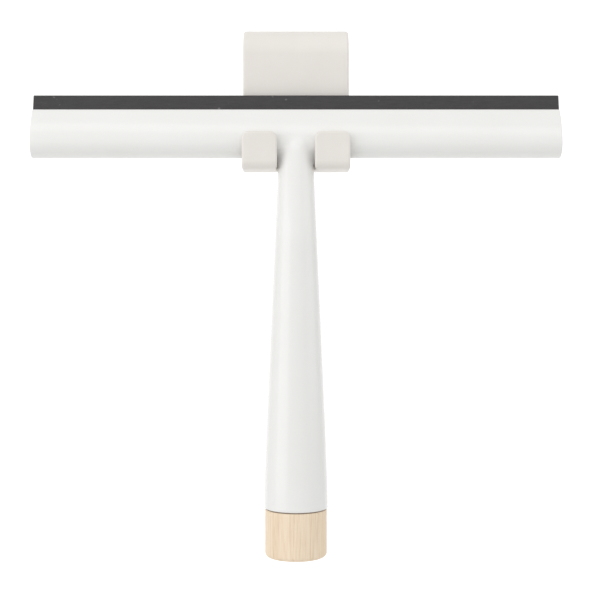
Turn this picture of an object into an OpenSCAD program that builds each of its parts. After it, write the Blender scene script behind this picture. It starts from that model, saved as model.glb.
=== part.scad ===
// Window cleaning squeegee hanging in its over-panel hook.
// Millimetres. +X runs along the blade, -Y faces the user, +Z is up.
// The origin is the axis of the hook's top bend, which sits on a rail or a panel's edge.

/* [Squeegee head] */
// Width of the head bar, end to end
head_w = 251; // [180:1:350]
// Radius of the head's rounded lower edge, half its greatest thickness
head_r = 7; // [6.5:0.25:8]
// Height of the blade's mouth above the centre of the lower edge
head_rise = 16.1; // [15.5:0.1:17.5]
// Radius of the head's curved front and back faces
face_r = 33; // [31:0.5:40]
// Angle by which the head and neck lean back from upright
head_lean = 11.5; // [8:0.5:13]

/* [Handle] */
// Length from the centre of the head's lower edge to the bend in the handle
neck_l = 44.7; // [35:0.1:60]
// Radius of the handle at its bend
knee_r = 9.8; // [9.3:0.1:10]
// Length of the grip from the bend to the end cap's seam
grip_l = 128.5; // [100:0.1:160]
// Radius of the grip at the end cap's seam
grip_r = 15.1; // [13.5:0.1:17]
// Angle by which the grip leans the other way
grip_lean = 2.3; // [0:0.1:4]
// Thickness of the moulded walls
wall = 2.2; // [1.8:0.1:2.6]

/* [End cap] */
// Radius of the wooden end cap
cap_r = 14.6; // [13:0.1:15]
// Length of the wooden end cap
cap_l = 22.9; // [18:0.1:40]
// Thickness of the seal ring between handle and cap
seal_t = 0.6; // [0.4:0.1:1]

/* [Blade] */
// How far each end of the rubber lies inside the head's end
blade_inset = 0; // [0:0.5:20]
// How far the rubber stands out of the head
blade_out = 7.7; // [4:0.1:12]
// Thickness of the rubber at the head
blade_t = 2; // [1.6:0.1:2.2]
// Thickness of the rubber at its wiping edge
blade_tip_t = 1.6; // [1:0.1:2]
// Radius of the bead that holds the rubber in its channel
bead_r = 2.2; // [1.8:0.1:2.4]

/* [Hook] */
// Width of the hook's strip
hook_w = 51; // [44:1:70]
// Thickness of the strip
hook_t = 3; // [2:0.5:4]
// Inner radius of the top bend, half the thickest panel it hangs on
seat_r = 10; // [8:0.5:12]
// Length of the rear leg below the top bend's axis
rear_leg = 30; // [15:1:60]
// Depth below the top bend's axis of the hook's underside
hook_drop = 57.3; // [57.3:0.1:60]
// Clear depth of the lower hook, front to back
cradle_d = 16.4; // [16.2:0.1:24]
// Height of the two prongs above the hook's underside
prong_h = 17.9; // [12:0.1:20]
// Radius of the prongs' top corners
prong_corner = 3.4; // [1:0.1:4]
// Gap between the prongs in front of the neck
prong_gap = 17.8; // [17.6:0.1:19]
// Radius of the notch in the hook's floor that the neck stands in
notch_r = 9.3; // [9.3:0.1:10]

/* [Hidden] */
$fn = 96;
eps = 0.01;

// Centre of the head's lower edge as [y, z], resting in the cradle, and the handle's bend below
// it, about which both the head's and the grip's frames turn
head_front = 8.8;
head_above = 13.1;
head_at = [-seat_r - hook_t - head_front, head_above - hook_drop];
knee_at = head_at - neck_l * [sin(head_lean), cos(head_lean)];

// How far the parting surface lies behind the handle's axis
parting = 0.4;

// Radius that the neck loses for each millimetre nearer the head, and the length over which
// the grip's taper dies out at the end cap
neck_taper = 0.0415;
taper_soft = 15;
bend_proud = 0.1;
grip_steps = 18;
// Centre of the neck's rounded top, below the centre of the head's lower edge
neck_dome_at = 5.5;
neck_bottom_r = neck_r(head_r);

// Fillet under the head either side of the neck, which stands on the notch's edges, and how far
// it reaches in front of the neck's axis and behind it
fillet_r = 5;
fillet_front = 4;
fillet_back = 1.5;

// Rubber blade and its channel: running gap round the bead and web, their place and height
blade_w = head_w - 2 * blade_inset;
blade_gap = 0.15;
bead_at = 8;
channel_low = 3;
channel_high = 13;
channel_inset = 1.6;
fit_gap = 0.1;
mouth_gap = 0.2;

// Hollow in the head below the channel
head_hollow_r = 3.6;
head_hollow_low = 1.2;
rib = 5;

// Self-tapping screws and their counterbores, along the head and down the grip
outer_screw = head_w / 2 - 21;
inner_screw = 0.42 * outer_screw;
screw_x = [-outer_screw, -inner_screw, inner_screw, outer_screw];
screw_s = [24, grip_l - 38];
screw_seat = 2.2;
thread_r = 1.45;
pilot_r = 1.3;
hole_r = 1.7;
screw_head_r = 2.7;
screw_head_h = 1.6;
screw_l = 5.2;
recess_r = 3;
boss_r = 4.4;
plug_t = 1.6;
plug_sink = 0.7;

// Parts in the handle's mouth
end_plug_l = 12;
end_plug_floor = 3;
end_plug_r = 12.3;
cap_edge_r = 2;
cap_screw_l = 17;
cap_screw_r = 1.9;
cap_screw_head_r = 3.8;
cap_screw_head_h = 2.4;

// Bend radii of the hook's lower corners, outside and inside
bend_out = 4;
bend_in = 1;
leg_corner = 6;

// Inner face of the prongs, and the centre of the notch's round back end and its straight sides
lip_y = -seat_r - hook_t - cradle_d;
notch_y = head_at.x - 2.2;
notch_straight = 4.4;

// Radius of the neck a distance s below the centre of the head's lower edge
function neck_r(s) = knee_r - neck_taper * (neck_l - s);

// Radius of the grip a distance s below the bend: a cone whose taper dies out at its end
function soft(d) = sqrt(d * d + taper_soft * taper_soft) - taper_soft;
function grip_radius(s) = grip_r - (grip_r - knee_r) * soft(grip_l - s) / soft(grip_l);

module along_x(len) rotate([90, 0, 90]) linear_extrude(len, center = true) children();

module neck_frame() translate([0, knee_at.x, knee_at.y]) rotate([-head_lean, 0, 0]) children();

module head_frame() neck_frame() translate([0, 0, neck_l]) children();

module grip_frame() translate([0, knee_at.x, knee_at.y]) rotate([grip_lean, 0, 0]) children();

// Puts children, made with their axis along +Z, at each screw with +Z out of the back
module at_screws() {
    head_frame() for (x = screw_x) translate([x, 0, 0]) rotate([-90, 0, 0]) children();
    grip_frame() for (s = screw_s) translate([0, 0, -s]) rotate([-90, 0, 0]) children();
}

// The head's cross-section, front to back and up
module head_section() {
    circle(r = head_r);
    head_upper(0, 0, head_rise);
}

// The part of the cross-section between two heights, inset from its faces
module head_upper(inset, low, high) intersection() {
    translate([face_r - head_r, 0]) circle(r = face_r - inset);
    translate([head_r - face_r, 0]) circle(r = face_r - inset);
    translate([-head_r, low]) square([2 * head_r, high - low]);
}

// Turned forms start at the back, so that no seam of theirs lies on the parting plane
module turned() rotate([0, 0, 90]) rotate_extrude() children();

// Ball where the handle bends: slightly proud, so that it closes the bend all round
module bend_ball(r) rotate([0, 0, 90]) sphere(r = r + bend_proud);

// Neck with a rounded top, seen from its axis
module neck_profile() {
    polygon([[0, -neck_l], [knee_r, -neck_l], [neck_r(neck_dome_at), -neck_dome_at], [0, -neck_dome_at]]);
    intersection() {
        translate([0, -neck_dome_at]) circle(r = neck_r(neck_dome_at));
        translate([0, -neck_dome_at - eps]) square(neck_bottom_r);
    }
}

module grip_profile(inset) polygon(concat(
    [for (i = [0:grip_steps]) let (s = i * grip_l / grip_steps) [grip_radius(s) - inset, -s]],
    [[0, -grip_l], [0, 0]]));

// Fillet between the head's underside and one side of the neck
module fillet(end) translate([0, fillet_back, 0])
    rotate([90, 0, 0]) linear_extrude(fillet_front + fillet_back) difference() {
        translate([end > 0 ? neck_bottom_r - 2 : -neck_bottom_r - fillet_r, -head_r - fillet_r])
            square([fillet_r + 2, fillet_r + 3]);
        translate([end * (neck_bottom_r + fillet_r), -head_r - fillet_r]) circle(r = fillet_r);
    }

// The T's outer form: head bar, neck, bend and grip
module t_form() {
    head_frame() {
        along_x(head_w) head_section();
        turned() neck_profile();
        for (end = [-1, 1]) fillet(end);
    }
    grip_frame() {
        bend_ball(knee_r);
        turned() grip_profile(0);
    }
}

// Hollows of the T: blade mouth, channel pocket, head hollow between ribs, neck and grip
module t_hollows() {
    head_frame() {
        along_x(head_w + 2) union() {
            translate([-blade_t / 2 - mouth_gap, bead_at])
                square([blade_t + 2 * mouth_gap, head_rise]);
            head_upper(channel_inset - fit_gap, channel_low - fit_gap, channel_high + fit_gap);
        }
        head_hollow(screw_x[0] + rib, screw_x[1] - rib);
        head_hollow(screw_x[1] + rib, -neck_bottom_r - 2 * rib);
        head_hollow(neck_bottom_r + 2 * rib, screw_x[2] - rib);
        head_hollow(screw_x[2] + rib, screw_x[3] - rib);
    }
    difference() {
        union() {
            neck_frame() cylinder(h = neck_l - head_r - rib,
                r1 = knee_r - wall, r2 = neck_r(head_r + rib) - wall);
            grip_frame() {
                bend_ball(knee_r - wall);
                turned() grip_profile(wall);
                translate([0, 0, -grip_l - eps])
                    cylinder(h = end_plug_l, r = end_plug_r + fit_gap);
            }
        }
        grip_frame() for (s = screw_s)
            translate([0, 0, -s]) rotate([90, 0, 0]) cylinder(h = 4 * knee_r, r = boss_r, center = true);
    }
}

module head_hollow(from, to) translate([(from + to) / 2, 0, -head_hollow_low])
    rotate([0, 90, 0]) cylinder(h = to - from, r = head_hollow_r, center = true);

// Everything in front of the parting surface, which bends with the handle
module front_space() {
    far = head_w / 2 + 2;
    neck_frame() translate([-far, -far, -2 * head_r]) cube([2 * far, far + parting, 2 * neck_l]);
    grip_frame() translate([-far, -far, -grip_l - head_r])
        cube([2 * far, far + parting, grip_l + 2 * head_r]);
}

module front_shell() color("white") difference() {
    intersection() {
        t_form();
        front_space();
    }
    t_hollows();
    at_screws() translate([0, 0, -screw_l]) cylinder(h = screw_l + 2 * parting, r = pilot_r);
}

module back_shell() color("white") difference() {
    t_form();
    front_space();
    t_hollows();
    at_screws() {
        cylinder(h = screw_seat + 1, r = hole_r);
        translate([0, 0, screw_seat]) cylinder(h = grip_r, r = recess_r);
    }
}

// Extruded channel that grips the rubber's bead, clamped between the shells
module blade_channel() color("silver") head_frame() along_x(head_w - 1) difference() {
    head_upper(channel_inset, channel_low, channel_high);
    translate([0, bead_at]) circle(r = bead_r + blade_gap);
    translate([-blade_t / 2 - blade_gap, bead_at])
        square([blade_t + 2 * blade_gap, channel_high]);
}

module blade() color("dimgray") head_frame() along_x(blade_w) union() {
    translate([0, bead_at]) circle(r = bead_r);
    polygon([[-blade_t / 2, bead_at], [blade_t / 2, bead_at], [blade_t / 2, head_rise],
        [blade_tip_t / 2, head_rise + blade_out], [-blade_tip_t / 2, head_rise + blade_out],
        [-blade_t / 2, head_rise]]);
}

module shell_screws() color("gray") at_screws() {
    translate([0, 0, screw_seat]) cylinder(h = screw_head_h, r = screw_head_r);
    translate([0, 0, -screw_l + 0.7]) cylinder(h = screw_l + screw_seat, r = thread_r);
}

module plug_at(surface_r) rotate([-90, 0, 0]) translate([0, 0, surface_r - plug_sink - plug_t])
    cylinder(h = plug_t, r = recess_r - 0.05);

module screw_plugs() color("white") {
    head_frame() for (x = screw_x) translate([x, 0, 0]) plug_at(head_r);
    grip_frame() for (s = screw_s) translate([0, 0, -s]) plug_at(grip_radius(s));
}

// Cup in the handle's mouth, screwed to the wooden cap and glued into the shells
module end_plug() color("gray") grip_frame() translate([0, 0, -grip_l - seal_t]) difference() {
    cylinder(h = end_plug_l, r = end_plug_r);
    translate([0, 0, end_plug_floor]) cylinder(h = end_plug_l, r = end_plug_r - wall);
    translate([0, 0, -1]) cylinder(h = end_plug_floor + 2, r = cap_screw_r + 0.2);
}

module cap_screw() color("gray") grip_frame()
    translate([0, 0, -grip_l - seal_t + end_plug_floor]) {
        cylinder(h = cap_screw_head_h, r = cap_screw_head_r);
        translate([0, 0, -cap_screw_l]) cylinder(h = cap_screw_l + eps, r = cap_screw_r);
    }

module seal_ring() color("black") grip_frame() translate([0, 0, -grip_l - seal_t]) difference() {
    cylinder(h = seal_t, r = cap_r - 0.4);
    translate([0, 0, -1]) cylinder(h = seal_t + 2, r = end_plug_r + fit_gap);
}

// Turned cap with a rounded lower rim and a pilot hole for its screw
module wood_end_cap() color("burlywood") grip_frame() translate([0, 0, -grip_l - seal_t])
    difference() {
        rotate_extrude() union() {
            translate([0, -cap_l + cap_edge_r]) square([cap_r, cap_l - cap_edge_r]);
            translate([0, -cap_l]) square([cap_r - cap_edge_r, cap_l]);
            translate([cap_r - cap_edge_r, -cap_l + cap_edge_r]) circle(r = cap_edge_r);
        }
        translate([0, 0, -cap_screw_l + end_plug_floor - 1])
            cylinder(h = cap_screw_l, r = cap_screw_r - 0.2);
    }

// Rounds one outside corner of a front-view outline at the origin, open to -X and -Y
module corner_cut(r) difference() {
    translate([-1, -1]) square([r + 1, r + 1]);
    translate([r, r]) circle(r = r);
}

// Upright block with rounded lower corners, in side view
module tray(back, front, low, high, r) {
    translate([front, low + r]) square([back - front, high - low - r]);
    translate([front + r, low]) square([back - front - 2 * r, 2 * r]);
    for (y = [front + r, back - r]) translate([y, low + r]) circle(r = r);
}

// Side profile of the bent strip: front leg, top bend and rear leg, then the cradle
module hook_profile() {
    difference() {
        union() {
            circle(r = seat_r + hook_t);
            translate([-seat_r - hook_t, -rear_leg]) square([2 * seat_r + 2 * hook_t, rear_leg]);
        }
        circle(r = seat_r);
        translate([-seat_r, -rear_leg - 1]) square([2 * seat_r, rear_leg + 1]);
    }
    translate([-seat_r - hook_t, -hook_drop + prong_h / 2])
        square([hook_t, hook_drop - prong_h / 2 - rear_leg / 2]);
    difference() {
        tray(-seat_r, lip_y - hook_t, -hook_drop, -hook_drop + prong_h, bend_out);
        tray(-seat_r - hook_t, lip_y, -hook_drop + hook_t, prong_h - hook_drop + 1, bend_in);
    }
}

// Plan of the notch for the neck: round at the back, narrowing towards the prongs' gap
module notch_plan() {
    half = prong_gap / 2;
    out = lip_y - 2 * hook_t;
    translate([0, notch_y]) circle(r = notch_r);
    polygon([[-notch_r, notch_y], [notch_r, notch_y], [notch_r, notch_y - notch_straight],
        [half, lip_y], [half, out], [-half, out], [-half, lip_y],
        [-notch_r, notch_y - notch_straight]]);
}

module hook() color("ivory") difference() {
    along_x(hook_w) hook_profile();
    translate([0, 0, -hook_drop - 1]) linear_extrude(prong_h + 2) notch_plan();
    // rounded top corners of the two prongs
    for (x = [-hook_w / 2, -prong_gap / 2, prong_gap / 2, hook_w / 2])
        translate([x, lip_y + 1, -hook_drop + prong_h])
            rotate([90, 0, 0]) linear_extrude(hook_t + 2)
                scale([x == -hook_w / 2 || x == prong_gap / 2 ? 1 : -1, -1]) corner_cut(prong_corner);
    // rounded lower corners of the rear leg
    for (side = [-1, 1])
        translate([side * hook_w / 2, seat_r + hook_t + 1, -rear_leg])
            rotate([90, 0, 0]) linear_extrude(hook_t + 2)
                scale([-side, 1]) corner_cut(leg_corner);
}

hook();
front_shell();
back_shell();
blade_channel();
blade();
shell_screws();
screw_plugs();
end_plug();
cap_screw();
seal_ring();
wood_end_cap();
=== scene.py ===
"""Window cleaning squeegee hanging in its over-panel hook: visual pieces around the CAD frame.

Shapes are worked out in millimetres and turned into metres when a mesh is made. The head's own
frame has x along the blade, v from front to back and u up the head, as its section is drawn.
"""
import math

import bmesh
import bpy
import numpy as np
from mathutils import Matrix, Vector


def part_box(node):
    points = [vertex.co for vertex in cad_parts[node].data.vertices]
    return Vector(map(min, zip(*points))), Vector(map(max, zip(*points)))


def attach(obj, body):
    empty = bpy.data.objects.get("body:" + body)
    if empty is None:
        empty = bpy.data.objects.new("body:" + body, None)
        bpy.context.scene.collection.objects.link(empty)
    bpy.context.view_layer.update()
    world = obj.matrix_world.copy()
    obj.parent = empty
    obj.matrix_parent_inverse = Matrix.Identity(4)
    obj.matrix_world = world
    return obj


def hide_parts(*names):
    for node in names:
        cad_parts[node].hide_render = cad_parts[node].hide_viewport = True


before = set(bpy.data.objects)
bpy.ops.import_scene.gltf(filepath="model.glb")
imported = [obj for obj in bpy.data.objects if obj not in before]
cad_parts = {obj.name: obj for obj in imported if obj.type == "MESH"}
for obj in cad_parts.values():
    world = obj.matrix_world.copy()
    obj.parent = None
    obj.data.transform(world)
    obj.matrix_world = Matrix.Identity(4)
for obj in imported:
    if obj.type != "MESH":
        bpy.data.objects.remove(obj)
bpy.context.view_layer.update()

MM = 0.001


def box_mm(node):
    low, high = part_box(node)
    return np.array(low) / MM, np.array(high) / MM


# ---------------------------------------------------------------- sizes, in millimetres
hook_low, hook_high = box_mm("hook")
_, shell_high = box_mm("front_shell")
_, blade_high = box_mm("blade")
_, plugs_high = box_mm("screw_plugs")

# Squeegee head: its lower edge is rounded about a line that is HEAD_FRONT ahead of the hook's
# front leg and HEAD_ABOVE the hook's lowest face
HEAD_HALF = shell_high[0]
HEAD_FRONT, HEAD_ABOVE = 8.8, 13.1
HEAD_R = 7.0
HEAD_RISE = 16.1
FACE_R = 33.0
FACE_AT = FACE_R - HEAD_R
LEAN = math.radians(11.5)
PARTING = 0.4
MOUTH_HALF = 1.2
POCKET_LOW, POCKET_HIGH, POCKET_INSET = 2.9, 13.1, 1.5
INNER_SCREW = 0.42    # place of the inner screws along the head, as a share of the outer ones'

# Handle
NECK_L, KNEE_R, NECK_TAPER, DOME_AT = 44.7, 9.8, 0.0415, 5.5
GRIP_L, GRIP_R, GRIP_LEAN, TAPER_SOFT = 128.5, 15.1, math.radians(2.3), 15.0
WALL = 2.2
SCREW_S = (24.0, GRIP_L - 38.0)
SEAL_T = 0.6
RECESS_R, RECESS_DEEP, PLUG_GAP = 3.0, 2.4, 0.05

# End cap and blade
CAP_R, CAP_L, CAP_EDGE = 14.6, 22.9, 2.0
CAP_CHAMFER, CAP_CROWN = 0.3, 0.25
CAP_HOLE_R, CAP_HOLE_L = 1.7, 15.0
BLADE_T, BLADE_TIP_T, BLADE_OUT, BEAD_R, BEAD_AT = 2.0, 1.6, 7.7, 2.2, 8.0
BLADE_LIP_R, BLADE_END, BEAD_CLEAR = 0.3, 0.25, 0.6

# Hook
HOOK_T = 3.0
HOOK_EDGE = 1.2       # rounding of the strip's edges
SEAT_R = hook_high[2] - HOOK_T
CORNER_IN = 1.0
NOTCH_R, NOTCH_STRAIGHT, PRONG_HALF_GAP = 9.3, 4.4, 8.9
NOTCH_AHEAD = 2.2     # the notch's centre, ahead of the head's lower edge
PRONG_H, PRONG_CORNER, LEG_CORNER, REAR_LEG = 17.9, 3.4, 6.0, 30.0

# Where the head's lower edge is centred and where the handle bends, as (y, z)
HEAD_AT = np.array([-hook_high[1] - HEAD_FRONT, hook_low[2] + HEAD_ABOVE])
NECK_DOWN = np.array([-math.sin(LEAN), -math.cos(LEAN)])
GRIP_DOWN = np.array([math.sin(GRIP_LEAN), -math.cos(GRIP_LEAN)])
KNEE_AT = HEAD_AT + NECK_L * NECK_DOWN


# ---------------------------------------------------------------- helpers
def head_to_row(points):
    """Points (x, v, u) of the head's own frame, in the row frame."""
    x, v, u = np.asarray(points, float).T
    c, s = math.cos(LEAN), math.sin(LEAN)
    return np.stack([x, HEAD_AT[0] + v * c + u * s, HEAD_AT[1] - v * s + u * c], axis=-1)


def make_object(name, vertices, faces, material):
    """A new mesh object from points in mm, with unused points left out and normals outward."""
    used = sorted({i for f in faces for i in f})
    place = {old: new for new, old in enumerate(used)}
    mesh = bpy.data.meshes.new(name)
    mesh.from_pydata([tuple(np.asarray(vertices[i]) * MM) for i in used], [],
                     [[place[i] for i in f] for f in faces])
    bm = bmesh.new()
    bm.from_mesh(mesh)
    bmesh.ops.recalc_face_normals(bm, faces=bm.faces)
    bm.to_mesh(mesh)
    bm.free()
    piece = bpy.data.objects.new(name, mesh)
    bpy.context.scene.collection.objects.link(piece)
    mesh.materials.append(material)
    return piece


def smooth(piece, degrees):
    """Smooth shading, with edges sharper than the angle kept crisp."""
    piece.data.polygons.foreach_set("use_smooth", [True] * len(piece.data.polygons))
    piece.data.set_sharp_from_angle(angle=math.radians(degrees))


def settle(piece):
    """Applies the piece's modifiers to its mesh."""
    graph = bpy.context.evaluated_depsgraph_get()
    mesh = bpy.data.meshes.new_from_object(piece.evaluated_get(graph))
    piece.modifiers.clear()
    piece.data = mesh


def weigh_normals(piece):
    """Lets large faces keep their own normals beside small rounded ones."""
    piece.modifiers.new("weighted", "WEIGHTED_NORMAL").keep_sharp = True


class Builder:
    """Collects points and faces by index."""

    def __init__(self):
        self.points, self.faces = [], []

    def add(self, points):
        first = len(self.points)
        self.points.extend(np.asarray(points, float))
        return list(range(first, len(self.points)))

    def strip(self, a, b):
        for i in range(len(a) - 1):
            self.faces.append([a[i], a[i + 1], b[i + 1], b[i]])

    def face(self, corners):
        self.faces.append(list(corners))


# ---------------------------------------------------------------- materials
def material(name, colour, roughness, **sockets):
    """A plain material, with underscores for the spaces in its other sockets' names."""
    mat = bpy.data.materials.new(name)
    mat.use_nodes = True
    shader = mat.node_tree.nodes["Principled BSDF"]
    shader.inputs["Base Color"].default_value = (*colour, 1)
    shader.inputs["Roughness"].default_value = roughness
    for key, value in sockets.items():
        shader.inputs[key.replace("_", " ")].default_value = value
    return mat


def node(mat, kind, **values):
    """A new shader node, each value set on the input or else the property of that name."""
    made = mat.node_tree.nodes.new(kind)
    for key, value in values.items():
        if key in made.inputs:
            made.inputs[key].default_value = value
        else:
            setattr(made, key, value)
    return made


def link(mat, a, out, b, into):
    mat.node_tree.links.new(a.outputs[out], b.inputs[into])


def grain(mat, stretch=(1, 1, 1), **values):
    """Noise in the object's own coordinates, each axis with its own scale."""
    where = node(mat, "ShaderNodeTexCoord")
    scaled = node(mat, "ShaderNodeMapping", Scale=stretch)
    noise = node(mat, "ShaderNodeTexNoise", **values)
    link(mat, where, "Object", scaled, "Vector")
    link(mat, scaled, "Vector", noise, "Vector")
    return noise


def ramp(mat, source, stops):
    made = node(mat, "ShaderNodeValToRGB")
    band = made.color_ramp
    while len(band.elements) < len(stops):
        band.elements.new(0.5)
    for element, (place, colour) in zip(band.elements, stops):
        element.position = place
        element.color = (*colour, 1)
    link(mat, source, "Fac", made, "Fac")
    return made


def paint(mat, source, low, high, start=0.3, stop=0.7):
    """Base colour between two colours, by a noise."""
    made = ramp(mat, source, [(start, low), (stop, high)])
    link(mat, made, "Color", shader_of(mat), "Base Color")


def join(mat, blend, one, other):
    """Base colour from two colour ramps, by a blend mode."""
    both = node(mat, "ShaderNodeMix", data_type="RGBA", blend_type=blend, Factor=1.0)
    inputs = [i for i in both.inputs if i.type == "RGBA"]
    output = next(o for o in both.outputs if o.type == "RGBA")
    for source, socket in zip((one, other), inputs):
        mat.node_tree.links.new(source.outputs["Color"], socket)
    mat.node_tree.links.new(output, shader_of(mat).inputs["Base Color"])


def rough(mat, source, low, high, start=0.3, stop=0.7):
    """Roughness between two values, by a noise."""
    spread = node(mat, "ShaderNodeMapRange")
    for key, value in (("From Min", start), ("From Max", stop), ("To Min", low), ("To Max", high)):
        spread.inputs[key].default_value = value
    link(mat, source, "Fac", spread, "Value")
    link(mat, spread, "Result", shader_of(mat), "Roughness")


def bump(mat, source, depth, strength):
    made = node(mat, "ShaderNodeBump", Strength=strength, Distance=depth)
    link(mat, source, "Fac", made, "Height")
    link(mat, made, "Normal", shader_of(mat), "Normal")


def shader_of(mat):
    return mat.node_tree.nodes["Principled BSDF"]


def shell_white():
    mat = material("glossy_white_moulding", (0.8, 0.8, 0.79), 0.22)
    cloud = grain(mat, Scale=40.0, Detail=2.0)
    paint(mat, cloud, (0.84, 0.835, 0.815), (0.855, 0.852, 0.835))
    skin = grain(mat, Scale=900.0, Detail=3.0)
    rough(mat, skin, 0.14, 0.22)
    bump(mat, skin, 0.00001, 0.25)
    return mat


def hook_plastic():
    mat = material("matte_warm_white", (0.76, 0.73, 0.69), 0.5)
    cloud = grain(mat, Scale=60.0, Detail=3.0)
    paint(mat, cloud, (0.79, 0.755, 0.71), (0.815, 0.78, 0.735))
    skin = grain(mat, Scale=2600.0, Detail=4.0, Roughness=0.6)
    rough(mat, skin, 0.42, 0.58)
    bump(mat, skin, 0.00003, 0.35)
    return mat


def blade_rubber():
    mat = material("dark_grey_rubber", (0.075, 0.073, 0.074), 0.6)
    streak = grain(mat, (1, 8, 8), Scale=160.0, Detail=5.0, Roughness=0.65)
    tone = ramp(mat, streak, [(0.25, (0.031, 0.029, 0.03)), (0.75, (0.049, 0.046, 0.047))])
    dust = grain(mat, Scale=420.0, Detail=1.0)
    light = ramp(mat, dust, [(0.74, (0.0, 0.0, 0.0)), (0.79, (0.09, 0.088, 0.088))])
    join(mat, "ADD", tone, light)
    speck = grain(mat, Scale=1800.0, Detail=3.0, Roughness=0.7)
    rough(mat, speck, 0.5, 0.72)
    bump(mat, speck, 0.00004, 0.4)
    return mat


# The seal ring is a real part, but its warm grey-brown is painted shadow: it is set to the tone of
# the thin shadow line at the seam between the white handle and the wood.
def seal_rubber():
    mat = material("seal_rubber", (0.25, 0.2, 0.15), 0.6)
    speck = grain(mat, Scale=1500.0, Detail=2.0)
    paint(mat, speck, (0.22, 0.17, 0.13), (0.3, 0.24, 0.18))
    bump(mat, speck, 0.00003, 0.3)
    return mat


def beech():
    mat = material("turned_beech", (0.8, 0.66, 0.5), 0.5)
    fibre = grain(mat, (1, 1, 0.035), Scale=1100.0, Detail=6.0, Roughness=0.62)
    tone = ramp(mat, fibre, [(0.28, (0.74, 0.56, 0.38)), (0.45, (0.87, 0.71, 0.53)),
                             (0.7, (0.93, 0.8, 0.63))])
    rings = grain(mat, (1, 0.6, 0.06), Scale=150.0, Detail=3.0, Distortion=0.6)
    band = ramp(mat, rings, [(0.35, (0.93, 0.9, 0.86)), (0.6, (1.0, 1.0, 1.0))])
    join(mat, "MULTIPLY", tone, band)
    rough(mat, fibre, 0.42, 0.6)
    bump(mat, fibre, 0.00004, 0.5)
    return mat


def metal(name, colour, roughness, stretch):
    """Metal with a fine grain, which becomes lines along an axis that has a small scale."""
    mat = material(name, colour, roughness, Metallic=1.0)
    lines = grain(mat, stretch, Scale=900.0, Detail=3.0)
    paint(mat, lines, tuple(0.9 * c for c in colour), colour)
    rough(mat, lines, roughness - 0.08, roughness + 0.08)
    bump(mat, lines, 0.00001, 0.4)
    return mat


def moulded(name, dark, light, roughness):
    """Plain moulded plastic with a fine skin."""
    mat = material(name, light, roughness)
    skin = grain(mat, Scale=1200.0, Detail=3.0)
    paint(mat, skin, dark, light)
    rough(mat, skin, roughness - 0.06, roughness + 0.06)
    bump(mat, skin, 0.00002, 0.3)
    return mat


MATERIALS = {
    "shell_white": shell_white(),
    "hook_plastic": hook_plastic(),
    "blade_rubber": blade_rubber(),
    "seal_rubber": seal_rubber(),
    "cap_wood": beech(),
    "channel_aluminium": metal("extruded_aluminium", (0.75, 0.76, 0.77), 0.35, (0.02, 1, 1)),
    "screw_steel": metal("zinc_plated_steel", (0.62, 0.63, 0.65), 0.3, (1, 1, 1)),
    "plug_white": moulded("satin_white_plug", (0.79, 0.785, 0.77), (0.82, 0.815, 0.8), 0.35),
    "plug_grey": moulded("grey_moulding", (0.2, 0.2, 0.2), (0.26, 0.26, 0.26), 0.5),
}


# ---------------------------------------------------------------- white moulding
ROWS_ROUND = 8        # rows of faces round the head's lower edge, after the groove's narrow one
ROWS_PATCH = 4        # rows above them that the neck's blend takes in
ROWS_FLANK = 8
PATCH_ROWS = 1 + ROWS_ROUND + ROWS_PATCH
PATCH_TOP = 5.5
PATCH_HALF = 17.0
PATCH_COLUMNS = 26
GROOVE_W, GROOVE_D = 0.28, 0.13
END_ROUND, LIP_ROUND, MOUTH_ROUND = 0.5, 1.0, 0.25
BLEND_SIDE, BLEND_FRONT = 5.9, 1.5      # softness of the neck's blend at its sides and front
SIDE_TO_V, FRONT_FROM_V = 2.0, 6.5      # v up to which the one holds, and from which the other
BLEND_FROM = 16.0     # distance down the neck at which the blend has ended
BLEND_RINGS = 12
BLEND_ROUNDS = 120    # rounds in which the blend's rings are relaxed
KNEE_SOFT = 7.0       # length either side of the knee over which the handle bends
KNEE_STEPS = 8
BELOW_KNEE = 12.0     # the one station between the knee's bend and the first screw
WEB_HALF = 6.0        # half the solid length of the handle at each of its screws
MOUTH_EDGE = 0.35     # rounding of the handle's mouth


def neck_radius(s):
    return KNEE_R - NECK_TAPER * (NECK_L - s)


def grip_radius(s):
    def soft(d):
        return math.hypot(d, TAPER_SOFT) - TAPER_SOFT
    return GRIP_R - (GRIP_R - KNEE_R) * soft(GRIP_L - s) / soft(GRIP_L)


def arc(centre, radius, start, stop, steps):
    angles = np.radians(np.linspace(start, stop, steps + 1))
    return [(centre[0] + radius * math.cos(a), centre[1] + radius * math.sin(a)) for a in angles]


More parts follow.
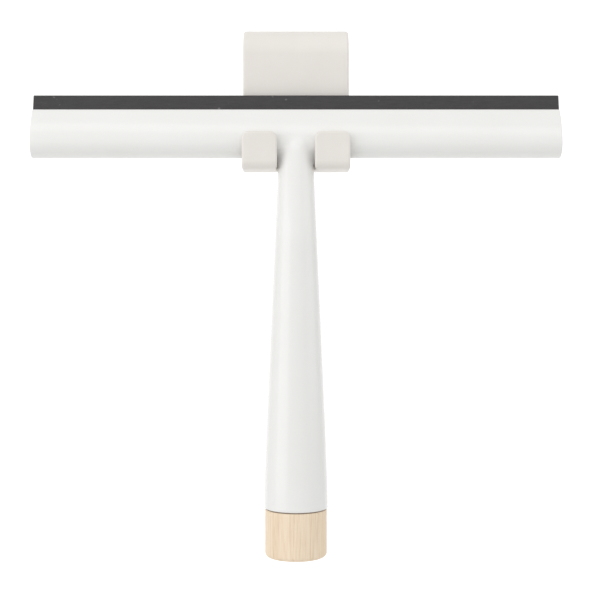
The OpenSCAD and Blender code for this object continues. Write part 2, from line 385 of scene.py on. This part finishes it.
def head_section(side, inset):
    """One half of the head's section as (v, u): side -1 is the front half and 1 the back one.

    It runs from the parting line below, round the outside to the lip, and back by the mouth, the
    channel's pocket and its floor. The inset shrinks the outside, for the rounded ends.
    """
    radius, face, top = HEAD_R - inset, FACE_R - inset, HEAD_RISE - inset
    start = side * math.asin(PARTING / radius)
    groove = start + GROOVE_W / radius
    turns = [start, *np.linspace(groove, math.pi / 2, ROWS_ROUND + 1)]
    loop = [(radius * math.sin(t), -radius * math.cos(t)) for t in turns]
    depth = GROOVE_D / radius
    loop[0] = (loop[0][0] * (1 - depth), loop[0][1] * (1 - depth))
    corner_u = top - LIP_ROUND
    corner_w = math.sqrt((face - LIP_ROUND) ** 2 - corner_u**2) - FACE_AT
    corner_turn = math.asin(corner_u / (face - LIP_ROUND))
    patch_turn = math.asin(PATCH_TOP / face)
    turns = [*np.linspace(0, patch_turn, ROWS_PATCH + 1)[1:],
             *np.linspace(patch_turn, corner_turn, ROWS_FLANK + 1)[1:]]
    loop += [(face * math.cos(t) - FACE_AT, face * math.sin(t)) for t in turns]
    loop += arc((corner_w, corner_u), LIP_ROUND, math.degrees(corner_turn), 90, 5)[1:]
    loop += arc((MOUTH_HALF + MOUTH_ROUND, top - MOUTH_ROUND), MOUTH_ROUND, 90, 180, 4)
    inner = FACE_R - POCKET_INSET
    loop.append((MOUTH_HALF, POCKET_HIGH))
    loop += [(math.sqrt(inner**2 - u * u) - FACE_AT, u)
             for u in np.linspace(POCKET_HIGH, POCKET_LOW, 5)]
    loop.append((side * PARTING, POCKET_LOW))
    return [(side * w, u) for w, u in loop]


def head_columns():
    """Places along the head with each one's inset, from end to end."""
    turns = np.radians(np.linspace(90, 0, 7))
    ends = [(HEAD_HALF - END_ROUND + END_ROUND * math.sin(t), END_ROUND * (1 - math.cos(t)))
            for t in turns]
    straight = np.linspace(HEAD_HALF - END_ROUND - 1, PATCH_HALF, 26)
    left = [(-x, inset) for x, inset in ends] + [(-x, 0.0) for x in straight]
    middle = [(x, 0.0) for x in np.linspace(-PATCH_HALF, PATCH_HALF, PATCH_COLUMNS + 1)[1:-1]]
    return left + middle + [(-x, inset) for x, inset in reversed(left)]


def t_field(p):
    """Distance-like field of the head and the neck, joined by a fillet that is softest at the
    neck's sides."""
    x, v, u = p[..., 0], p[..., 1], p[..., 2]
    head = np.where(u < 0, np.hypot(v, u) - HEAD_R, np.hypot(np.abs(v) + FACE_AT, u) - FACE_R)
    s = -u
    cone = np.hypot(x, v) - neck_radius(s)
    ball = np.sqrt(x**2 + v**2 + (s - DOME_AT) ** 2) - neck_radius(DOME_AT)
    neck = np.where(s > DOME_AT, cone, ball)
    t = np.clip((np.abs(v) - SIDE_TO_V) / (FRONT_FROM_V - SIDE_TO_V), 0, 1)
    k = BLEND_SIDE + (BLEND_FRONT - BLEND_SIDE) * t * t * (3 - 2 * t)
    h = np.clip(k - np.abs(head - neck), 0, None) / k
    return np.minimum(head, neck) - h * h * k / 4


def field_slope(p, step=0.01):
    slope = np.empty_like(p)
    for axis in range(3):
        move = np.zeros(3)
        move[axis] = step
        slope[..., axis] = (t_field(p + move) - t_field(p - move)) / (2 * step)
    return slope


def onto_field(p, rounds=3):
    for _ in range(rounds):
        slope = field_slope(p)
        p = p - (t_field(p) / (slope**2).sum(-1))[..., None] * slope
    return p


def ring_turns(radius, half_count):
    """Angles of a ring's points from +x towards the front: parting, groove's edge, then even."""
    part = math.asin(PARTING / radius)
    groove = GROOVE_W / radius
    front = [-part, *np.linspace(groove - part, math.pi + part - groove, half_count - 1),
             math.pi + part]
    back = [math.pi + part, *np.linspace(math.pi + part + groove, 2 * math.pi - part - groove,
                                         half_count - 1)]
    return np.array(front + back[1:])


def ring(centre, down, radius, half_count):
    """A closed ring of 2 * half_count points about the handle's path, in the row frame."""
    turns = ring_turns(radius, half_count)
    reach = np.full(len(turns), radius)
    reach[[0, half_count]] -= GROOVE_D
    front = np.array([down[1], -down[0]])
    x = reach * np.cos(turns)
    out = reach * np.sin(turns)
    return np.stack([x, centre[0] + out * front[0], centre[1] + out * front[1]], axis=-1)


def handle_path():
    """Stations down the handle from the end of the neck's blend to the mouth, and its webs' ends.

    Each station is a centre, a direction, a radius and a distance, which is negative above the
    knee and positive below it.
    """
    stations = []
    for s in np.linspace(BLEND_FROM, NECK_L - KNEE_SOFT, 9):
        stations.append((HEAD_AT + s * NECK_DOWN, NECK_DOWN, neck_radius(s), s - NECK_L))
    turn = LEAN + GRIP_LEAN
    bend = KNEE_SOFT / math.tan(turn / 2)
    side = np.array([-NECK_DOWN[1], NECK_DOWN[0]])
    start = KNEE_AT - KNEE_SOFT * NECK_DOWN
    for i in range(1, KNEE_STEPS):
        a = turn * i / KNEE_STEPS
        centre = start + bend * (math.sin(a) * NECK_DOWN + (1 - math.cos(a)) * side)
        down = math.cos(a) * NECK_DOWN + math.sin(a) * side
        s = (2 * i / KNEE_STEPS - 1) * KNEE_SOFT
        stations.append((centre, down, neck_radius(NECK_L + s) if s < 0 else grip_radius(s), s))
    webs = [s + gap for s in SCREW_S for gap in (-WEB_HALF, WEB_HALF)]
    places = [KNEE_SOFT, BELOW_KNEE]
    places += [*np.linspace(webs[0], webs[1], 5), *np.linspace(webs[1], webs[2], 18)[1:],
               *np.linspace(webs[2], webs[3], 5)[1:], *np.linspace(webs[3], GRIP_L - 1, 11)[1:]]
    for s in places:
        stations.append((KNEE_AT + s * GRIP_DOWN, GRIP_DOWN, grip_radius(s), s))
    for a in np.radians(np.linspace(0, 90, 6)):
        s = GRIP_L - MOUTH_EDGE + MOUTH_EDGE * math.sin(a)
        stations.append((KNEE_AT + s * GRIP_DOWN, GRIP_DOWN,
                         grip_radius(s) - MOUTH_EDGE * (1 - math.cos(a)), s))
    return stations, webs


def blend_rings(boundary, half_count):
    """Rings from the head's patch to the neck, relaxed over the joined field."""
    radius = neck_radius(BLEND_FROM)
    turns = ring_turns(radius, half_count)
    last = np.stack([radius * np.cos(turns), -radius * np.sin(turns),
                     np.full(len(turns), -BLEND_FROM)], axis=-1)
    share = np.linspace(0, 1, BLEND_RINGS + 1)[:, None, None]
    net = boundary * (1 - share) + last * share
    parting = [0, half_count]
    for _ in range(BLEND_ROUNDS):
        inner = net[1:-1]
        around = (np.roll(inner, 1, axis=1) + np.roll(inner, -1, axis=1) + net[:-2] + net[2:]) / 4
        net[1:-1] = onto_field((inner + around) / 2, 1)
        net[1:-1, parting, 1] = PARTING
    for edge, middle, after in ((1, 0, 2), (half_count - 1, half_count, half_count - 2),
                                (half_count + 1, half_count, half_count + 2), (-1, 0, -2)):
        away = net[1:-1, after] - net[1:-1, middle]
        away /= np.linalg.norm(away, axis=-1)[:, None]
        net[1:-1, edge] = net[1:-1, middle] + GROOVE_W * away
    net[1:-1] = onto_field(net[1:-1])
    slope = field_slope(net[1:-1, parting])
    slope /= np.linalg.norm(slope, axis=-1)[..., None]
    net[1:-1, parting] -= GROOVE_D * slope
    return net


def patch_edge(ids, left, right):
    """Ids round one half of the patch, from the right parting point to the left one."""
    return ([ids[right][k] for k in range(PATCH_ROWS)]
            + [ids[c][PATCH_ROWS] for c in range(right, left - 1, -1)]
            + [ids[left][k] for k in range(PATCH_ROWS - 1, -1, -1)])


def half_of(points, side):
    """The half of a closed ring that one piece has, from right to left."""
    half_count = len(points) // 2
    if side < 0:
        return points[: half_count + 1]
    return np.concatenate([points[:1], points[:half_count - 1:-1]])


def head_half(b, grid, left, right):
    """One half of the head, open where the neck joins it. Returns its points' ids by column."""
    n = grid.shape[1]
    ids = [b.add(head_to_row(column)) for column in grid]
    for c in range(len(grid) - 1):
        in_patch = left <= c < right
        for k in range(PATCH_ROWS if in_patch else 0, n - 1):
            b.face([ids[c][k], ids[c][k + 1], ids[c + 1][k + 1], ids[c + 1][k]])
        if not in_patch:
            b.face([ids[c][n - 1], ids[c][0], ids[c + 1][0], ids[c + 1][n - 1]])
    b.face(ids[0])
    b.face(ids[-1])
    return ids


def handle_inside(b, rings, stations, webs, side, half_count):
    """Inside of one half of the handle: solid across at the screws, and walls round each hollow."""
    def hollow(s):
        return webs[1] <= s <= webs[2] or s >= webs[3]

    inner = None
    for i, (centre, down, radius, s) in enumerate(stations):
        outer = rings[i]
        inside = None
        if hollow(s + 0.001) or hollow(s - 0.001):
            thin = ring(centre, down, min(radius, GRIP_R) - WALL, half_count)
            inside = b.add(half_of(thin, side))
        before_hollow = i > 0 and hollow((s + stations[i - 1][3]) / 2)
        if i:
            above = rings[i - 1]
            if inner and inside and before_hollow:
                b.strip(inner, inside)
                b.face([above[0], outer[0], inside[0], inner[0]])
                b.face([above[-1], outer[-1], inside[-1], inner[-1]])
            else:
                b.face([above[0], outer[0]] + ([inside[0], inside[-1]] if inside else [])
                       + [outer[-1], above[-1]] + ([inner[-1], inner[0]] if inner else []))
        if inside:
            starts = not inner or not before_hollow
            ends = i + 1 < len(stations) and not hollow((s + stations[i + 1][3]) / 2)
            if starts or ends:
                b.face(inside)
        inner = inside
    b.strip(rings[-1], inner)


def moulding_halves():
    """The front and back halves of the white moulding, head and handle in one."""
    columns = head_columns()
    left = next(i for i, (x, _) in enumerate(columns) if x > -PATCH_HALF - 0.01)
    right = left + PATCH_COLUMNS
    half_count = 2 * PATCH_ROWS + PATCH_COLUMNS
    grids, edges = {}, {}
    for side in (-1, 1):
        grids[side] = np.array([[(x, v, u) for v, u in head_section(side, inset)]
                                for x, inset in columns])
        edges[side] = np.array(patch_edge(grids[side], left, right))
    blend = blend_rings(np.concatenate([edges[-1], edges[1][-2:0:-1]]), half_count)
    stations, webs = handle_path()

    halves = []
    for side, name in ((-1, "front_moulding"), (1, "back_moulding")):
        b = Builder()
        ids = head_half(b, grids[side], left, right)
        neck = [b.add(head_to_row(half_of(points, side))) for points in blend[1:BLEND_RINGS]]
        handle = [b.add(half_of(ring(centre, down, radius, half_count), side))
                  for centre, down, radius, _ in stations]
        rings = [patch_edge(ids, left, right), *neck, *handle]
        for one, other in zip(rings, rings[1:]):
            b.strip(one, other)

        # the parting face across the head and the neck's blend
        chain = [*neck, handle[0]]
        b.face([ids[c][-1] for c in range(left, right + 1)] + [ids[right][0]]
               + [r[0] for r in chain] + [r[-1] for r in reversed(chain)] + [ids[left][0]])
        handle_inside(b, handle, stations, webs, side, half_count)
        halves.append(make_object(name, b.points, b.faces, MATERIALS["shell_white"]))
    return halves


def cut_away(piece, cutter):
    """Takes the cutter's volume out of the piece."""
    cut = piece.modifiers.new("cut", "BOOLEAN")
    cut.operation = "DIFFERENCE"
    cut.solver = "EXACT"
    cut.object = cutter
    settle(piece)


def screw_recesses(piece):
    """Cuts the round recesses in the back for the screws' plugs."""
    outer = plugs_high[0] - RECESS_R + PLUG_GAP
    inner = INNER_SCREW * outer
    out = np.array([math.cos(LEAN), -math.sin(LEAN)])
    places = [((x, *HEAD_AT), out, HEAD_R) for x in (-outer, -inner, inner, outer)]
    out = np.array([math.cos(GRIP_LEAN), math.sin(GRIP_LEAN)])
    for s in SCREW_S:
        places.append(((0, *(KNEE_AT + s * GRIP_DOWN)), out, grip_radius(s)))
    b = Builder()
    count = 48
    turns = np.linspace(0, 2 * math.pi, count, endpoint=False)
    for (x, y, z), out, radius in places:
        across = np.array([-out[1], out[0]])
        loops = []
        for reach in (radius - RECESS_DEEP, radius + 2):
            y_at, z_at = y + out[0] * reach, z + out[1] * reach
            loops.append(b.add(np.stack([
                x + RECESS_R * np.cos(turns), y_at + across[0] * RECESS_R * np.sin(turns),
                z_at + across[1] * RECESS_R * np.sin(turns)], axis=-1)))
        b.face(loops[0])
        b.face(loops[1])
        b.strip(loops[0] + loops[0][:1], loops[1] + loops[1][:1])
    cutter = make_object("recess_cutter", b.points, b.faces, MATERIALS["shell_white"])
    cut_away(piece, cutter)
    bpy.data.objects.remove(cutter)


front_moulding, back_moulding = moulding_halves()
screw_recesses(back_moulding)
for piece, node_name in ((front_moulding, "front_shell"), (back_moulding, "back_shell")):
    cut_away(piece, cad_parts["shell_screws"])
    smooth(piece, 22)
    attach(piece, "squeegee")
    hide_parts(node_name)


# ---------------------------------------------------------------- hook
class Path:
    """The strip's middle line in side view, as straight runs and arcs end to end."""

    def __init__(self):
        self.parts, self.length = [], 0.0

    def line(self, start, direction, normal, length):
        start, direction, normal = map(np.array, (start, direction, normal))
        self.parts.append((self.length, length, lambda l, n: start + l * direction + n * normal))
        self.length += length
        return self

    def arc(self, centre, radius, start, sweep, outward):
        centre = np.array(centre)
        length = radius * abs(math.radians(sweep))

        def at(l, n):
            a = math.radians(start) + math.radians(sweep) * l / length
            return centre + (radius + outward * n) * np.array([math.cos(a), math.sin(a)])

        self.parts.append((self.length, length, at))
        self.length += length
        return self

    def at(self, l, n):
        for first, length, place in self.parts:
            if l <= first + length + 1e-9:
                return place(l - first, n)
        first, length, place = self.parts[-1]
        return place(l - first, n)

    def stations(self, steps):
        """Distances at which the strip is divided: steps are counts for each part in turn."""
        found = []
        for (first, length, _), count in zip(self.parts, steps):
            found += [first + length * i / count for i in range(1, count + 1)]
        return found[:-1]


def make_hook():
    """The hook's strip, cut out flat and then bent along its path."""
    half_t = HOOK_T / 2
    bend_r = CORNER_IN + half_t
    middle = SEAT_R + half_t
    floor_z = hook_low[2] + half_t
    lip_mid = hook_low[1] + half_t
    turn_z = floor_z + bend_r
    path = Path()
    path.line((middle, -REAR_LEG), (0, 1), (1, 0), REAR_LEG)
    path.arc((0, 0), middle, 0, 180, 1)
    path.line((-middle, 0), (0, -1), (-1, 0), -turn_z)
    path.arc((-middle - bend_r, turn_z), bend_r, 0, -90, -1)
    floor_from = path.length
    path.line((-middle - bend_r, floor_z), (-1, 0), (0, 1), -middle - lip_mid - 2 * bend_r)
    path.arc((lip_mid + bend_r, turn_z), bend_r, -90, -90, -1)
    path.line((lip_mid, turn_z), (0, 1), (1, 0), hook_low[2] + PRONG_H - turn_z)

    # outline of the flat strip as (x, distance along it): right half, then its mirror
    half_w = hook_high[0]
    end = path.length
    floor_y = -middle - bend_r
    notch_at = floor_from + floor_y - (HEAD_AT[0] - NOTCH_AHEAD)
    lip_at = floor_from + floor_y - (hook_low[1] + HOOK_T)
    steps = 12
    half = arc((half_w - LEG_CORNER, LEG_CORNER), LEG_CORNER, -90, 0, steps)
    half += arc((half_w - PRONG_CORNER, end - PRONG_CORNER), PRONG_CORNER, 0, 90, steps)
    half += arc((PRONG_HALF_GAP + PRONG_CORNER, end - PRONG_CORNER), PRONG_CORNER, 90, 180, steps)
    half += [(PRONG_HALF_GAP, lip_at), (NOTCH_R, notch_at + NOTCH_STRAIGHT)]
    half += arc((0, notch_at), NOTCH_R, 0, -90, 2 * steps)
    outline = half + [(-x, l) for x, l in reversed(half[:-1])]

    bm = bmesh.new()
    bm.faces.new([bm.verts.new((x, l, 0)) for x, l in outline])
    for l in path.stations((5, 30, 8, 6, 8, 6, 5)):
        bmesh.ops.bisect_plane(bm, geom=bm.verts[:] + bm.edges[:] + bm.faces[:], dist=0.001,
                               plane_co=(0, l, 0), plane_no=(0, 1, 0))
    bm.verts.index_update()
    bm.normal_update()
    up = math.copysign(1, bm.faces[:][0].normal.z)
    flat = np.array([v.co[:2] for v in bm.verts])
    out = np.zeros_like(flat)
    rim = []
    for edge in bm.edges:
        if len(edge.link_faces) != 1:
            continue
        corner = edge.link_loops[0]
        a, c = corner.vert, corner.link_loop_next.vert
        away = np.array([c.co.y - a.co.y, a.co.x - c.co.x]) * up
        away /= np.linalg.norm(away)
        for v in (a, c):
            out[v.index] += away
        rim.append((a.index, c.index))
    size = np.linalg.norm(out, axis=1)
    on_rim = size > 0
    out[on_rim] *= (2 / size[on_rim] ** 2)[:, None]
    faces = [[v.index for v in f.verts] for f in bm.faces]
    bm.free()

    # layers through the thickness, drawn in at both faces for the rounded edges
    quarter = np.radians(np.linspace(90, 0, 6))
    layers = [(half_t - HOOK_EDGE * (1 - math.sin(a)), HOOK_EDGE * (1 - math.cos(a)))
              for a in quarter]
    layers += [(-n, inset) for n, inset in reversed(layers)]
    b = Builder()
    ids = []
    for n, inset in layers:
        moved = flat - inset * out
        ids.append(b.add([(x, *path.at(l, n)) for x, l in moved]))
    for f in faces:
        b.face([ids[0][i] for i in f])
        b.face([ids[-1][i] for i in reversed(f)])
    for one, other in zip(ids, ids[1:]):
        for i, j in rim:
            b.face([one[i], one[j], other[j], other[i]])
    return make_object("hook_strip", b.points, b.faces, MATERIALS["hook_plastic"])


hook_strip = make_hook()
smooth(hook_strip, 35)
weigh_normals(hook_strip)
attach(hook_strip, "hook")
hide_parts("hook")


# ---------------------------------------------------------------- blade
def make_blade():
    """The rubber, with its bead below and a lip that thins towards its edge."""
    half_w = blade_high[0]
    top = HEAD_RISE + BLADE_OUT
    half, tip, lip = BLADE_T / 2, BLADE_TIP_T / 2, BLADE_LIP_R
    neck_turn = math.degrees(math.asin(half / BEAD_R))
    outline = [(tip, top - lip), *arc((tip - lip, top - lip), lip, 0, 90, 4)[1:]]
    side = [(half, HEAD_RISE), (half, BEAD_AT + BEAD_R + BEAD_CLEAR)]
    bead = arc((0, BEAD_AT), BEAD_R, 90 - neck_turn, -90, 16)
    right = [*reversed(outline), *side, *bead]
    loop = right + [(-v, u) for v, u in reversed(right[:-1])]
    edge = BLADE_END
    places = [(-half_w, edge), (-half_w + edge / 3, edge / 3), (-half_w + edge, 0)]
    places += [(x, 0) for x in np.linspace(-half_w + 3, half_w - 3, 60)]
    places += [(-x, inset) for x, inset in reversed(places[:3])]
    b = Builder()
    middle = np.array([0, (BEAD_AT + top) / 2])
    ids = []
    for x, inset in places:
        points = []
        for v, u in loop:
            shrink_v = 1 - inset / half
            shrink_u = 1 - inset / (top - middle[1])
            points.append((x, v * shrink_v, middle[1] + (u - middle[1]) * shrink_u))
        ids.append(b.add(head_to_row(points)))
    for one, other in zip(ids, ids[1:]):
        b.strip(one + one[:1], other + other[:1])
    b.face(ids[0])
    b.face(ids[-1])
    return make_object("rubber_blade", b.points, b.faces, MATERIALS["blade_rubber"])


rubber_blade = make_blade()
smooth(rubber_blade, 35)
weigh_normals(rubber_blade)
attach(rubber_blade, "blade")
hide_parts("blade")


# ---------------------------------------------------------------- wooden end cap
def make_cap():
    """Turned cap: a small chamfer at the seam, a rounded lower rim and a slightly crowned end."""
    top = GRIP_L + SEAL_T
    edge_s = CAP_L - CAP_EDGE - CAP_CROWN
    profile = [(CAP_HOLE_R, CAP_HOLE_L), (CAP_HOLE_R, 0.0), (5.0, 0.0), (10.0, 0.0),
               (CAP_R - CAP_CHAMFER, 0.0), (CAP_R - 0.3 * CAP_CHAMFER, 0.3 * CAP_CHAMFER),
               (CAP_R, CAP_CHAMFER)]
    profile += [(CAP_R, s) for s in np.linspace(2, edge_s, 10)]
    profile += [(r, edge_s + s) for r, s in arc((CAP_R - CAP_EDGE, 0), CAP_EDGE, 0, 84, 9)[1:]]
    rim_r, rim_s = profile[-1]
    crown = CAP_L - rim_s
    profile += [(rim_r * (1 - t), rim_s + crown * (1 - (1 - t) ** 2))
                for t in np.linspace(0, 1, 8)[1:-1]]
    count = 128
    turns = np.linspace(0, 2 * math.pi, count, endpoint=False)
    front = np.array([GRIP_DOWN[1], -GRIP_DOWN[0]])
    b = Builder()
    loops = []
    for radius, s in profile:
        centre = KNEE_AT + (top + s) * GRIP_DOWN
        out = radius * np.sin(turns)
        loops.append(b.add(np.stack([radius * np.cos(turns), centre[0] + out * front[0],
                                     centre[1] + out * front[1]], axis=-1)))
    for one, other in zip(loops, loops[1:]):
        b.strip(one + one[:1], other + other[:1])
    b.face(loops[0])
    b.face(loops[-1])
    return make_object("beech_cap", b.points, b.faces, MATERIALS["cap_wood"])


beech_cap = make_cap()
smooth(beech_cap, 40)
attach(beech_cap, "squeegee")
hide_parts("wood_end_cap")


# ---------------------------------------------------------------- CAD nodes that show as they are
CARRIED = {
    "blade_channel": "channel_aluminium",
    "shell_screws": "screw_steel",
    "screw_plugs": "plug_white",
    "end_plug": "plug_grey",
    "cap_screw": "screw_steel",
    # the seal's warm grey-brown colour is painted seam shadow
    "seal_ring": "seal_rubber",
}
for node_name, slot in CARRIED.items():
    for material_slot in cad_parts[node_name].material_slots:
        material_slot.material = MATERIALS[slot]


# ---------------------------------------------------------------- studio
BACK_Y, FLOOR_Z = 2500.0, -2000.0       # millimetres
SHEET_BEND, SHEET_HALF, SHEET_FRONT, SHEET_TOP = 800.0, 15000.0, -6000.0, 5000.0

# The backdrop gives light of its own behind the object, less from GLOW_NEAR to none at GLOW_FAR
GLOW, GLOW_NEAR, GLOW_FAR, GLOW_Z = 0.5, 1.6, 4.6, 0.3      # metres
WORLD = 0.8
LIT = (0, -0.02, -0.1)                  # where the lamps aim


def pale_sheet():
    """Floor that curves up into a backdrop behind the object."""
    mat = material("pale_floor", (0.8, 0.8, 0.8), 0.9)
    mottle = grain(mat, Scale=3.0, Detail=2.0)
    paint(mat, mottle, (0.79, 0.79, 0.79), (0.81, 0.81, 0.81))
    shader_of(mat).inputs["Emission Color"].default_value = (1, 1, 1, 1)
    where = node(mat, "ShaderNodeTexCoord")
    away = node(mat, "ShaderNodeVectorMath", operation="DISTANCE")
    away.inputs[1].default_value = (0, BACK_Y * MM, GLOW_Z)
    glow = node(mat, "ShaderNodeMapRange", interpolation_type="SMOOTHSTEP")
    for key, value in (("From Min", GLOW_NEAR), ("From Max", GLOW_FAR), ("To Min", GLOW),
                       ("To Max", 0.0)):
        glow.inputs[key].default_value = value
    link(mat, where, "Object", away, 0)
    link(mat, away, "Value", glow, "Value")
    link(mat, glow, "Result", shader_of(mat), "Emission Strength")
    profile = [(SHEET_FRONT, FLOOR_Z), (BACK_Y - SHEET_BEND, FLOOR_Z)]
    profile += arc((BACK_Y - SHEET_BEND, FLOOR_Z + SHEET_BEND), SHEET_BEND, -90, 0, 16)[1:]
    profile.append((BACK_Y, SHEET_TOP))
    b = Builder()
    left = b.add([(-SHEET_HALF, y, z) for y, z in profile])
    right = b.add([(SHEET_HALF, y, z) for y, z in profile])
    b.strip(left, right)
    sheet = make_object("pale_backdrop", b.points, b.faces, mat)
    smooth(sheet, 60)


def lamp(name, place, size, power):
    data = bpy.data.lights.new(name, "AREA")
    data.shape = "RECTANGLE"
    data.size, data.size_y = size
    data.energy = power
    made = bpy.data.objects.new(name, data)
    made.location = place
    made.rotation_euler = (Vector(LIT) - Vector(place)).to_track_quat("-Z", "Y").to_euler()
    bpy.context.scene.collection.objects.link(made)


def studio():
    world = bpy.data.worlds.new("soft_white")
    world.use_nodes = True
    world.node_tree.nodes["Background"].inputs["Color"].default_value = (1, 1, 1, 1)
    world.node_tree.nodes["Background"].inputs["Strength"].default_value = WORLD
    bpy.context.scene.world = world
    lamp("side", (-1.5, -1.05, 0.1), (1.6, 1.4), 9.2)
    lamp("fill", (1.5, -0.45, 0.35), (1.2, 1.4), 3.2)
    lamp("strip", (-0.35, -1.0, 1.15), (2.2, 0.4), 3.3)
    bpy.context.scene.view_settings.view_transform = "Standard"


CAMERA_AT = (0.0, -0.679, -0.1167)
LENS = 84.1


def camera():
    data = bpy.data.cameras.new("camera")
    data.lens = LENS
    data.sensor_width = 36
    made = bpy.data.objects.new("camera", data)
    made.location = CAMERA_AT
    made.rotation_euler = (math.radians(90), 0, 0)
    bpy.context.scene.collection.objects.link(made)
    bpy.context.scene.camera = made


pale_sheet()
studio()
camera()
